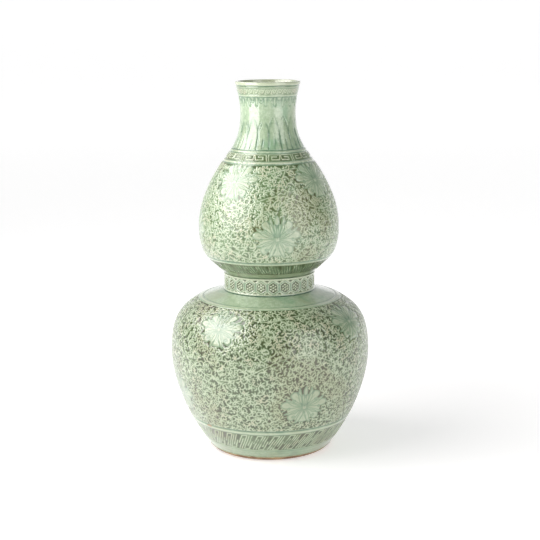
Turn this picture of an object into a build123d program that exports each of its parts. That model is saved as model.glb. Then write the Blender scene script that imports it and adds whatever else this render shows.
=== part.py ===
import os
from math import pi, sin

from build123d import *

# Double gourd vase in celadon porcelain, built of thrown sections luted one on another.
# Millimetres, +Z up, origin on the table at the middle of the foot.

# Heights of the sections, from the table upwards
foot_ring_height = 6.0
lower_bowl_height = 106.0
carved_shoulder_height = 56.0
plain_shoulder_rise = 8.7
collar_height = 18.5
upper_bowl_height = 48.8
upper_shoulder_height = 74.0
neck_height = 67.9
mouth_height = 10.6
lip_height = 3.5

# Outer radii, from the table upwards
foot_radius = 60.0
foot_top_radius = 68.2
lower_bulb_radius = 108.1
shoulder_line_radius = 77.3
collar_radius = 49.0
upper_bulb_radius = 75.8
neck_root_radius = 47.5
neck_waist_radius = 29.9
neck_top_radius = 31.85
mouth_radius = 34.4
lip_radius = 34.85

# Walls of the clay, and how the sections meet
lower_wall = 6.5
collar_wall = 6.0
upper_wall = 5.5
neck_wall = 4.8
lip_wall = 3.6
lip_ease = 0.9
joint_bevel = 2.0

# Foot and base
foot_tread = 5.0
foot_ring_width = 17.0
base_ledge = 7.0
base_thickness = 8.0

# Raised borders of the collar
border_height = 1.8
border_relief = 0.6

# Carved grounds of the bulbs: cut back between plain borders, round what stands up in them
ground_depth = 0.5
foot_band_height = 35.5
under_band_height = 21.0
ground_border = 1.8
cutter_overrun = 1.5

# Lotus heads: four to a row, two rows to a bulb, turned from the front towards the right
head_width = 49.0
head_height = 41.0
heads_in_row = 4
lower_row_turn = 20.5
shoulder_row_turn = -31.0
belly_row_turn = 6.5
neck_row_turn = -35.5

# Main stem of each bulb's scroll, which winds between its two rows of heads
stem_width = 3.2
lower_stem_rise = 14.0
upper_stem_rise = 8.0
lower_stem_turn = 17.0
upper_stem_turn = 8.0

# Stations of each outline, as shares of its change in radius and of the section's height,
# starting at the widest line for the bulbs and at the root for the neck
lower_bowl_shares = [(0.100, 0.299), (0.500, 0.698), (1.0, 1.0)]
carved_shoulder_shares = [(0.094, 0.434), (0.638, 0.871), (1.0, 1.0)]
upper_bowl_shares = [(0.101, 0.398), (0.481, 0.736), (1.0, 1.0)]
upper_shoulder_shares = [(0.219, 0.457), (1.0, 1.0)]
neck_shares = [(0.506, 0.194), (0.946, 0.523)]

# Tips of a lotus head's petals from the lowest to the top one, as shares of its half width and
# height, and how far in the notches between them lie and how full the petals' sides are
petal_shares = [
    (0, -0.40),
    (0.34, -0.43),
    (0.58, -0.35),
    (0.76, -0.20),
    (1, 0.08),
    (0.84, 0.25),
    (0.56, 0.39),
    (0.29, 0.53),
    (0, 0.57),
]
notch_share = 0.62
petal_swell_share = 0.06

# Where the hearts of the four rows and the upper stem lie, as shares of the arc that carries them
lower_row_share = 0.27
shoulder_row_share = 0.53
belly_row_share = 0.10
neck_row_share = 0.50

# Levels that the heights add up to
lower_belly_level = foot_ring_height + lower_bowl_height
shoulder_line_level = lower_belly_level + carved_shoulder_height
collar_foot_level = shoulder_line_level + plain_shoulder_rise
collar_top_level = collar_foot_level + collar_height
upper_belly_level = collar_top_level + upper_bowl_height
neck_root_level = upper_belly_level + upper_shoulder_height
mouth_root_level = neck_root_level + neck_height
lip_level = mouth_root_level + mouth_height
vase_height = lip_level + lip_height


def at(radius, level):
    """Point of an outline, in the plane that is turned about the axis."""
    return Vector(radius, 0, level)


def stations(start, end, shares):
    """Points on the way from one end of an outline to the other."""
    return [start + at((end.X - start.X) * across, (end.Z - start.Z) * along) for across, along in shares]


def rounded(start, heading, stops):
    """Arcs through the stops, each setting off the way the last one arrived."""
    arcs = []
    for stop in stops:
        arcs.append(TangentArc(start, stop, tangent=heading))
        start = stop
        heading = arcs[-1] % 1
    return arcs


def outwards(arc, share):
    """Direction square to an arc, away from the axis."""
    heading = arc % share
    side = 1 if heading.Z > 0 else -1
    return at(abs(heading.Z), -side * heading.X)


def inside(arc, wall):
    """Point on the inner face, across the wall from an arc's end and square to the outline."""
    return (arc @ 1) - outwards(arc, 1) * wall


def turned(outer, inner):
    """Section turned about the axis, from its outer edges and the inner points beside them."""
    corners = [outer[-1] @ 1, *reversed(inner), outer[0] @ 0]
    flats = [Line(a, b) for a, b in zip(corners, corners[1:])]
    return revolve(make_face([*outer, *flats]), axis=Axis.Z)


def beside(arcs, distance):
    """Arcs that run beside others at a distance, outwards where it is positive."""
    stops = [(arc @ 1) + outwards(arc, 1) * distance for arc in arcs]
    return rounded((arcs[0] @ 0) + outwards(arcs[0], 0) * distance, arcs[0] % 0, stops)


def skin(arcs):
    """Thin ring over an outline, from its carved ground to clear outside the wall."""
    ground = beside(arcs, -ground_depth)
    outer = beside(arcs, cutter_overrun)
    ends = [Line(ground[0] @ 0, outer[0] @ 0), Line(ground[-1] @ 1, outer[-1] @ 1)]
    return revolve(make_face([*ground, *outer, *ends]), axis=Axis.Z)


def on_wall(arc, share):
    """Plane that touches the wall at a share of an arc, X to the right and Y up the wall."""
    return Plane(origin=arc @ share, x_dir=(0, 1, 0), z_dir=outwards(arc, share))


def through(plane, outline, reach):
    """Solid through the wall with an outline drawn on the plane that touches it."""
    return extrude(plane * make_face(outline), amount=reach, both=True)


def lotus_outline():
    """Pointed petals round a lotus head, each with two full sides."""
    right = [Vector(head_width / 2 * across, head_height * up) for across, up in petal_shares]
    left = [Vector(-tip.X, tip.Y) for tip in reversed(right[1:-1])]
    tips = [*right, *left]
    notches = [(a + b) * notch_share / 2 for a, b in zip(tips, [*tips[1:], tips[0]])]
    sides = []
    for before, tip, after in zip([notches[-1], *notches], tips, notches):
        for start, end in ((before, tip), (tip, after)):
            sides.append(SagittaArc(start, end, -petal_swell_share * (end - start).length))
    return sides


def bend_outline(half_span, rise):
    """One bend of the stem, from side to side of the plane, up for a positive rise."""
    half = stem_width / 2
    edges = [
        ThreePointArc((-half_span, edge), (0, rise + edge), (half_span, edge)) for edge in (half, -half)
    ]
    return [*edges, Line(edges[0] @ 0, edges[1] @ 0), Line(edges[0] @ 1, edges[1] @ 1)]


def round_axis(solid, count, turn):
    """Copies of a solid round the axis, the first one turned from the front towards the right."""
    return [Rot(0, 0, turn - 90 + 360 * i / count) * solid for i in range(count)]


def lotus_row(arc, share, turn):
    """Row of lotus heads with their hearts on an arc of the outline."""
    head = through(on_wall(arc, share), lotus_outline(), head_height / 4)
    return round_axis(head, heads_in_row, turn)


def stem_ring(arc, share, rise, turn):
    """Main stem: bends that rise and fall in turn, one over and one under each pair of heads."""
    half_span = (arc @ share).X * sin(pi / heads_in_row / 2)
    bends = []
    for hand, lag in ((1, 0), (-1, 180 / heads_in_row)):
        bend = through(on_wall(arc, share), bend_outline(half_span, hand * rise), head_height / 4)
        bends += round_axis(bend, heads_in_row, turn + lag)
    return bends


def carved_ground(arc_chains, low, high, kept):
    """What is cut away between two levels, round the heads and stems that are kept."""
    reach = Pos(0, 0, low) * Cylinder(
        lower_bulb_radius * 2, high - low, align=(Align.CENTER, Align.CENTER, Align.MIN)
    )
    return [(skin(arcs) & reach) - kept for arcs in arc_chains]


# Outlines of the two bulbs and the neck
lower_belly = at(lower_bulb_radius, lower_belly_level)
foot_top = at(foot_top_radius, foot_ring_height)
shoulder_line = at(shoulder_line_radius, shoulder_line_level)
upper_belly = at(upper_bulb_radius, upper_belly_level)
collar_top = at(collar_radius, collar_top_level)
neck_root = at(neck_root_radius, neck_root_level)
neck_waist = at(neck_waist_radius, mouth_root_level)
neck_top = at(neck_top_radius, mouth_root_level)
mouth_top = at(mouth_radius, lip_level)

up = at(0, 1)
bowl_arcs = rounded(lower_belly, -up, stations(lower_belly, foot_top, lower_bowl_shares))
shoulder_arcs = rounded(lower_belly, up, stations(lower_belly, shoulder_line, carved_shoulder_shares))
upper_bowl_arcs = rounded(upper_belly, -up, stations(upper_belly, collar_top, upper_bowl_shares))
upper_shoulder_arcs = rounded(upper_belly, up, stations(upper_belly, neck_root, upper_shoulder_shares))
neck_stops = [*stations(neck_root, neck_waist, neck_shares), neck_top, mouth_top]
*neck_arcs, mouth_arc = rounded(neck_root, upper_shoulder_arcs[-1] % 1, neck_stops)

# Where two sections meet, the joint's inner edge: square to the wall, or bevelled up at a belly
lower_belly_inside = lower_belly + at(-lower_wall, joint_bevel)
upper_belly_inside = upper_belly + at(-upper_wall, joint_bevel)
neck_root_inside = inside(upper_shoulder_arcs[-1], neck_wall)
neck_top_inside = inside(neck_arcs[-1], neck_wall)
collar_bore_radius = collar_radius - collar_wall
collar_foot_inside = at(collar_bore_radius, collar_foot_level)
collar_top_inside = at(collar_bore_radius, collar_top_level)


# What is cut away from the bulbs to leave the heads, the stems and the borders standing
lower_ground = carved_ground(
    [bowl_arcs, shoulder_arcs],
    foot_ring_height + foot_band_height,
    shoulder_line_level - ground_border,
    [
        *lotus_row(bowl_arcs[1], lower_row_share, lower_row_turn),
        *lotus_row(shoulder_arcs[1], shoulder_row_share, shoulder_row_turn),
        *stem_ring(shoulder_arcs[0], 0, lower_stem_rise, lower_stem_turn),
    ],
)
upper_ground = carved_ground(
    [upper_bowl_arcs, upper_shoulder_arcs],
    collar_top_level + under_band_height,
    neck_root_level - ground_border,
    [
        *lotus_row(upper_bowl_arcs[0], belly_row_share, belly_row_turn),
        *lotus_row(upper_shoulder_arcs[1], neck_row_share, neck_row_turn),
        *stem_ring(upper_shoulder_arcs[0], 1, upper_stem_rise, upper_stem_turn),
    ],
)

# Foot ring: unglazed, rounded in under its outer edge to a flat tread on the table
ring_bore_radius = foot_top_radius - foot_ring_width
foot_ring = turned(
    [TangentArc(foot_top, at(foot_radius, 0), tangent=bowl_arcs[-1] % 1)],
    [at(ring_bore_radius, foot_ring_height), at(foot_radius - foot_tread, 0)],
)

# Base: the vase's floor, on the foot ring's ledge and within the bowl's rim
base_radius = ring_bore_radius + base_ledge
base_disc = Pos(0, 0, foot_ring_height) * Cylinder(
    base_radius, base_thickness, align=(Align.CENTER, Align.CENTER, Align.MIN)
)

# Lower bulb: a bowl up to the belly, and the shoulder luted on it
lower_bowl = turned(
    bowl_arcs,
    [
        lower_belly_inside,
        inside(bowl_arcs[0], lower_wall),
        inside(bowl_arcs[1], lower_wall),
        at(base_radius, foot_ring_height + base_thickness),
        at(base_radius, foot_ring_height),
    ],
)
lower_shoulder = turned(
    [*shoulder_arcs, Line(shoulder_line, at(collar_radius, collar_foot_level))],
    [
        lower_belly_inside,
        *[inside(arc, lower_wall) for arc in shoulder_arcs],
        collar_foot_inside - at(0, lower_wall),
        collar_foot_inside,
    ],
)

# Waist collar: a straight band between the bulbs, with a raised border at each edge
border_radius = collar_radius + border_relief
collar_outline = Polyline(
    at(collar_radius, collar_foot_level),
    at(border_radius, collar_foot_level),
    at(border_radius, collar_foot_level + border_height),
    at(collar_radius, collar_foot_level + border_height),
    at(collar_radius, collar_top_level - border_height),
    at(border_radius, collar_top_level - border_height),
    at(border_radius, collar_top_level),
    at(collar_radius, collar_top_level),
)
waist_collar = turned(collar_outline.edges(), [collar_foot_inside, collar_top_inside])

# Upper bulb: a bowl up to its belly, and the shoulder that narrows to the neck
upper_bowl = turned(
    upper_bowl_arcs,
    [
        upper_belly_inside,
        inside(upper_bowl_arcs[0], upper_wall),
        inside(upper_bowl_arcs[1], upper_wall),
        collar_top_inside,
    ],
)
upper_shoulder = turned(
    upper_shoulder_arcs,
    [upper_belly_inside, inside(upper_shoulder_arcs[0], upper_wall), neck_root_inside],
)

# Neck, narrowest just below the mouth
neck = turned(
    neck_arcs,
    [
        neck_root_inside,
        inside(neck_arcs[0], neck_wall),
        inside(neck_arcs[1], neck_wall),
        neck_top_inside,
    ],
)

# Mouth: the flared band above the neck, with a proud lip whose edges are eased
lip_outline = Polyline(
    mouth_top,
    at(lip_radius, lip_level),
    at(lip_radius, vase_height - lip_ease),
    at(lip_radius - lip_ease, vase_height),
)
lip_bore_radius = lip_radius - lip_wall
mouth = turned(
    [mouth_arc, *lip_outline.edges()],
    [
        neck_top_inside,
        at(lip_bore_radius, vase_height - lip_ease),
        at(lip_bore_radius + lip_ease, vase_height),
    ],
)

vase = {
    "foot_ring": foot_ring,
    "base_disc": base_disc,
    "lower_bowl": lower_bowl - lower_ground,
    "lower_shoulder": lower_shoulder - lower_ground,
    "waist_collar": waist_collar,
    "upper_bowl": upper_bowl - upper_ground,
    "upper_shoulder": upper_shoulder - upper_ground,
    "neck": neck,
    "mouth": mouth,
}
os.makedirs("parts", exist_ok=True)
for name, piece in vase.items():
    export_step(piece, f"parts/{name}.step")
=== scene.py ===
from math import atan2, ceil, copysign, cos, exp, pi, radians, sin

import bpy
import numpy as np
from mathutils import Matrix, Vector


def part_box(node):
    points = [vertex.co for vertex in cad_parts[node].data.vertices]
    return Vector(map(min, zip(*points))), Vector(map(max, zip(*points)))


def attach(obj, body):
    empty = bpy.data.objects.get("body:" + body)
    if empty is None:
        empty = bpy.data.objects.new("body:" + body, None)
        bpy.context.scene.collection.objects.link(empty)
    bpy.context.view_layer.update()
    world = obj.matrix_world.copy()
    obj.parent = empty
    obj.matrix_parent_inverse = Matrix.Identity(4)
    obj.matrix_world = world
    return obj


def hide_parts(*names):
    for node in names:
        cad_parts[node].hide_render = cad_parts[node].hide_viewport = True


# Double gourd vase in carved celadon. Metres, +Z up, the vase's axis on Z, its front towards -Y.
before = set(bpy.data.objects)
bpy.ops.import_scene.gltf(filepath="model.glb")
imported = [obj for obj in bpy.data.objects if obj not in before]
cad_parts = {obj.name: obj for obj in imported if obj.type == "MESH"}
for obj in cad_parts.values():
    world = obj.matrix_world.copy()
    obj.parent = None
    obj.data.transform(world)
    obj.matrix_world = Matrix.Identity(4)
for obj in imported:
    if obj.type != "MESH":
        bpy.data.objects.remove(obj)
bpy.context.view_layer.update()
scene = bpy.context.scene
mm = 0.001

# Levels and radii of the thrown sections, from the frame's parts or given in millimetres
foot_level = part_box("foot_ring")[1].z
lower_belly_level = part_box("lower_shoulder")[0].z
collar_foot_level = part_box("waist_collar")[0].z
collar_top_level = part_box("waist_collar")[1].z
upper_belly_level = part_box("upper_shoulder")[0].z
neck_root_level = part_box("upper_shoulder")[1].z
mouth_root_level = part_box("mouth")[0].z
rim_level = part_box("mouth")[1].z
lip_level = rim_level - 3.5 * mm
shoulder_line_level = collar_foot_level - 8.7 * mm
foot_radius = 60.0 * mm
foot_top_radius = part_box("foot_ring")[1].x
lower_bulb_radius = 108.0 * mm
shoulder_line_radius = 77.3 * mm
collar_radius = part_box("waist_collar")[1].x - 0.6 * mm
upper_bulb_radius = 75.8 * mm
neck_root_radius = 47.5 * mm
neck_waist_radius = 29.9 * mm
neck_top_radius = 31.85 * mm
mouth_radius = 34.4 * mm
lip_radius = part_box("mouth")[1].x


def in_metres(lengths, rows):
    """Rows of a table, with so many of their first values brought from millimetres to metres."""
    return [(*[value * mm for value in row[:lengths]], *row[lengths:]) for row in rows]


# Stations of the outline's arcs, as shares of each section's change in radius and of its height
lower_bowl_shares = [(0.100, 0.299), (0.500, 0.698), (1.0, 1.0)]
carved_shoulder_shares = [(0.094, 0.434), (0.638, 0.871), (1.0, 1.0)]
upper_bowl_shares = [(0.101, 0.398), (0.481, 0.736), (1.0, 1.0)]
upper_shoulder_shares = [(0.219, 0.457), (1.0, 1.0)]
neck_shares = [(0.506, 0.194), (0.946, 0.523)]

# Levels at which the inner face bends, and its radii there, in millimetres
inner_face = in_metres(2, [
    (6.0, 58.2), (14.0, 58.2), (40.9, 82.35),
    (82.0, 97.8), (114.0, 101.6), (134.7, 98.9),
    (155.5, 84.7), (162.3, 74.2), (170.2, 43.0),
    (195.2, 43.0), (212.2, 59.2), (226.1, 67.8),
    (246.0, 70.3), (275.9, 64.4), (315.1, 43.65),
    (352.8, 26.1), (386.9, 27.15), (398.2, 31.25),
])


# The outline


def arc(start, heading, stop, step=0.3 * mm):
    """Points of the arc that leaves start along heading and ends at stop, and its last heading."""
    chord = stop - start
    side = np.array([-heading[1], heading[0]])
    sweep = 2 * atan2(chord @ side, chord @ heading)
    radius = (chord @ chord) / (2 * (chord @ side))
    middle = start + side * radius
    count = max(2, ceil(abs(radius * sweep) / step))
    spoke = start - middle
    spun = []
    for turn in np.linspace(0, sweep, count + 1):
        c, s = cos(turn), sin(turn)
        spun.append(middle + [spoke[0] * c - spoke[1] * s, spoke[0] * s + spoke[1] * c])
    c, s = cos(sweep), sin(sweep)
    return spun, np.array([heading[0] * c - heading[1] * s, heading[0] * s + heading[1] * c])


def arcs(start, heading, stops):
    """Arcs through the stops, each setting off the way the last one arrived."""
    points = [start]
    for stop in stops:
        more, heading = arc(start, heading, stop)
        points += more[1:]
        start = stop
    return points, heading


def stations(start, end, shares):
    """Points on the way from one end of a section to the other."""
    return [start + (end - start) * share for share in shares]


def vase_outline():
    """The vase's outer outline from the table to the lip, as radius and level."""
    up = np.array([0.0, 1.0])
    foot_top = np.array([foot_top_radius, foot_level])
    lower_belly = np.array([lower_bulb_radius, lower_belly_level])
    shoulder_line = np.array([shoulder_line_radius, shoulder_line_level])
    collar_foot = np.array([collar_radius, collar_foot_level])
    collar_top = np.array([collar_radius, collar_top_level])
    upper_belly = np.array([upper_bulb_radius, upper_belly_level])
    neck_root = np.array([neck_root_radius, neck_root_level])
    neck_waist = np.array([neck_waist_radius, mouth_root_level])
    neck_top = np.array([neck_top_radius, mouth_root_level])
    mouth_top = np.array([mouth_radius, lip_level])

    bowl, heading = arcs(lower_belly, -up, stations(lower_belly, foot_top, lower_bowl_shares))
    foot, _ = arcs(foot_top, heading, [np.array([foot_radius, 0.0])])
    shoulder, _ = arcs(lower_belly, up, stations(lower_belly, shoulder_line, carved_shoulder_shares))
    upper_bowl, _ = arcs(upper_belly, -up, stations(upper_belly, collar_top, upper_bowl_shares))
    upper, heading = arcs(upper_belly, up, stations(upper_belly, neck_root, upper_shoulder_shares))
    neck_stops = [*stations(neck_root, neck_waist, neck_shares), neck_top, mouth_top]
    neck, _ = arcs(neck_root, heading, neck_stops)
    lower_half = foot[:0:-1] + bowl[:0:-1] + shoulder + [collar_foot]
    return np.array(lower_half + upper_bowl[::-1] + upper[1:] + neck[1:])


outline = vase_outline()
outline_steps = np.hypot(*np.diff(outline, axis=0).T)
outline_lengths = np.concatenate([[0.0], np.cumsum(outline_steps)])


def along(level):
    """Distance along the outline, from the table to a level."""
    return float(np.interp(level, outline[:, 1], outline_lengths))


def at_length(length):
    """Radius and level at a distance along the outline."""
    return np.array([np.interp(length, outline_lengths, outline[:, i]) for i in (0, 1)])


def radius_at(level):
    """Radius of the outer face at a level."""
    return at_length(along(level))[0]


def rise(low, high):
    """Length of the outline between two levels, in millimetres."""
    return (along(high) - along(low)) / mm


def outward(length, reach=0.4 * mm):
    """Unit normal of the outline, away from the vase."""
    run = at_length(length + reach) - at_length(length - reach)
    run /= np.linalg.norm(run)
    return np.array([run[1], -run[0]])


# Turned lines: level, half width along the outline and depth in millimetres, then pooled glaze and
# thin glaze from 0 to 1. A depth of zero is a fillet that stands at full height between lowered grounds.
turned_lines = in_metres(3, [
    (9.6, 0.50, 0.40, 0.30, 0.0),
    (13.4, 0.55, 0.40, 0.55, 0.0),
    (35.6, 0.45, 0.45, 0.45, 0.0),
    (37.65, 0.75, 0.0, 0.0, 0.65),
    (39.9, 0.85, 0.85, 0.95, 0.0),
    (168.8, 0.55, 0.0, 0.0, 0.9),
    (169.7, 0.7, 0.45, 0.7, 0.0),
    (176.6, 1.0, 0.25, 1.0, 0.0),
    (196.2, 0.9, 0.35, 0.8, 0.0),
    (213.4, 0.7, 0.0, 0.0, 0.45),
    (215.2, 0.8, 0.85, 0.9, 0.0),
    (316.2, 0.7, 0.80, 0.8, 0.0),
    (317.6, 0.75, 0.0, 0.0, 0.8),
    (319.0, 0.45, 0.40, 0.55, 0.0),
    (326.9, 0.7, 0.55, 0.75, 0.0),
    (328.4, 0.7, 0.0, 0.0, 0.25),
    (330.1, 0.8, 0.60, 1.0, 0.0),
    (384.2, 0.6, 0.45, 0.9, 0.0),
    (385.8, 0.65, 0.0, 0.0, 0.35),
    (387.0, 0.35, 0.25, 0.35, 0.0),
    (393.3, 0.40, 0.25, 0.35, 0.0),
    (395.8, 0.65, 0.55, 0.85, 0.0),
])

# Grounds below full height: from level, to level and depth in millimetres, and how brown their glaze is,
# the upper bulb, the neck fret and the mouth band
# which is painted shade: darker, browner glaze that dims the foot band, the lower bulb, the band under
lowered_grounds = in_metres(3, [
    (6.0, 36.4, 0.30, 0.30),
    (41.0, 167.8, 0.0, 0.35),
    (169.6, 176.7, 0.25, 0.0),
    (195.2, 212.6, 0.30, 0.8),
    (319.3, 326.4, 0.10, 0.25),
    (329.6, 383.8, 0.35, 0.0),
    (386.6, 396.2, 0.10, 0.45),
])

# Carved grounds, where the pattern stands up from a cut-back ground: from and to level in millimetres
carved_grounds = in_metres(2, [
    (15.2, 35.2), (41.0, 167.8), (177.4, 193.9),
    (200.6, 212.4), (216.2, 315.7), (319.3, 326.4),
    (387.3, 393.1),
])


def between(length, low, high, ease=0.35 * mm):
    """1 between two levels and 0 outside them, with a short slope at each."""
    inside = min(length - along(low), along(high) - length)
    return float(np.clip(inside / ease + 0.5, 0.0, 1.0))


def surface_row(length):
    """Depth, carving, pooled and thin glaze, and the brown glaze of painted shade, at a distance along the
    outline.
    """
    grounds = [(between(length, low, high), cut, brown) for low, high, cut, brown in lowered_grounds]
    depth = max(near * cut for near, cut, _ in grounds)
    brown = max(near * browning_and_shade for near, _, browning_and_shade in grounds)
    carve = max(between(length, low, high) for low, high in carved_grounds)
    pool = 0.0
    thin = 0.0
    for level, half_width, cut, line_pool, line_thin in turned_lines:
        near = exp(-(((length - along(level)) / half_width) ** 2))
        carve *= 1 - near
        thin = max(thin, near * line_thin)
        pool = max(pool, near * line_pool)
        depth = depth * (1 - near) + cut * near
    return depth, carve, pool, thin, brown


def inner_radius(level):
    """Radius of the inner face at a level."""
    return float(np.interp(level, *np.array(inner_face).T))


# Node trees


class Tree:
    """A node tree being built. Most calls add a node and give back the socket to wire onwards."""

    def __init__(self, group):
        self.group = group
        self.given = {}

    def plug(self, socket, source):
        if isinstance(source, bpy.types.NodeSocket):
            self.group.links.new(source, socket)
        elif source is not None:
            socket.default_value = source

    def made(self, kind, *sources, named=(), **settings):
        """New node with its settings, and with its inputs in their order or by name."""
        made = self.group.nodes.new(kind)
        for setting, value in settings.items():
            setattr(made, setting, value)
        sockets = [s for s in made.inputs if s.enabled]
        for socket, source in zip(sockets, sources):
            self.plug(socket, source)
        for label, source in dict(named).items():
            self.plug(next(s for s in sockets if s.name == label), source)
        return made

    def node(self, kind, *sources, out=None, **settings):
        """A new node's output of this name, or its first one."""
        results = [s for s in self.made(kind, *sources, **settings).outputs if s.enabled]
        return next((s for s in results if out in (None, s.name)), None)

    def math(self, operation, *sources):
        return self.node("ShaderNodeMath", *sources, operation=operation)

    def times(self, a, b):
        return self.math("MULTIPLY", a, b)

    def plus(self, a, b):
        return self.math("ADD", a, b)

    def minus(self, a, b):
        return self.math("SUBTRACT", a, b)

    def highest(self, a, b):
        return self.math("MAXIMUM", a, b)

    def vector(self, operation, *sources, out=None):
        return self.node("ShaderNodeVectorMath", *sources, operation=operation, out=out)

    def scaled(self, vector, factor):
        return self.vector("SCALE", vector, factor)

    def split(self, vector):
        return self.made("ShaderNodeSeparateXYZ", vector).outputs

    def joined(self, x, y, z):
        return self.node("ShaderNodeCombineXYZ", x, y, z)

    def eased(self, value, low, high, start=0.0, end=1.0):
        """Smooth step from start, at low, to end, at high."""
        return self.node("ShaderNodeMapRange", value, low, high, start, end, interpolation_type="SMOOTHSTEP")

    def geometry_of(self, thing):
        return self.node("GeometryNodeObjectInfo", thing, out="Geometry")

    def attribute(self, name, kind="FLOAT"):
        return self.node("GeometryNodeInputNamedAttribute", name, data_type=kind, out="Attribute")

    def keep(self, geometry, name, value, kind="FLOAT", domain="POINT"):
        named = {"Geometry": geometry, "Name": name, "Value": value}
        return self.node("GeometryNodeStoreNamedAttribute", data_type=kind, domain=domain, named=named)

    def distance(self, geometry, element, place=None):
        """Distance to the nearest edge or face of a pattern, and far where there is no pattern."""
        made = self.made("GeometryNodeProximity", geometry, target_element=element)
        self.plug(next(s for s in made.inputs if s.name.endswith("Position")), place)
        missing = self.minus(1.0, made.outputs["Is Valid"])
        return self.plus(made.outputs["Distance"], missing)

    def turned(self, radius, azimuth, level):
        """Point at a radius, azimuth and level, where azimuth 0 is the front."""
        x = self.times(radius, self.math("SINE", azimuth))
        y = self.times(radius, self.math("COSINE", azimuth))
        return self.joined(x, self.times(y, -1.0), level)

    def joining(self, *geometries):
        made = self.group.nodes.new("GeometryNodeJoinGeometry")
        for geometry in geometries:
            self.group.links.new(geometry, made.inputs[0])
        return made.outputs[0]

    def finish(self, geometry):
        """Ends the tree with real geometry in its material."""
        real = self.node("GeometryNodeRealizeInstances", geometry)
        named = {"Geometry": real, "Material": self.given["Material"]}
        coated = self.node("GeometryNodeSetMaterial", named=named)
        self.node("NodeGroupOutput", coated)


def geometry_tree(name, **inputs):
    """Geometry Nodes tree with the named inputs of each kind, and a material as its last one."""
    group = bpy.data.node_groups.new(name, "GeometryNodeTree")
    for kind, labels in {**inputs, "Material": ("Material",)}.items():
        for label in labels:
            group.interface.new_socket(label, in_out="INPUT", socket_type="NodeSocket" + kind)
    group.interface.new_socket("Geometry", in_out="OUTPUT", socket_type="NodeSocketGeometry")
    tree = Tree(group)
    entry = group.nodes.new("NodeGroupInput")
    tree.given = {s.name: s for s in entry.outputs if s.name}
    return tree


def in_scene(name, data):
    """Object that shows this data in the scene."""
    made = bpy.data.objects.new(name, data)
    scene.collection.objects.link(made)
    return made


def grown(name, tree, settings):
    """Plain mesh that a tree makes from these inputs."""
    holder = in_scene(name, bpy.data.meshes.new(name))
    modifier = holder.modifiers.new(name, "NODES")
    modifier.node_group = tree.group
    for item in tree.group.interface.items_tree:
        if item.in_out == "INPUT" and item.name in settings:
            modifier[item.identifier] = settings[item.name]
    graph = bpy.context.evaluated_depsgraph_get()
    mesh = bpy.data.meshes.new_from_object(
        holder.evaluated_get(graph), preserve_all_data_layers=True, depsgraph=graph
    )
    bpy.data.objects.remove(holder)
    mesh.name = name
    return mesh


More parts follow.
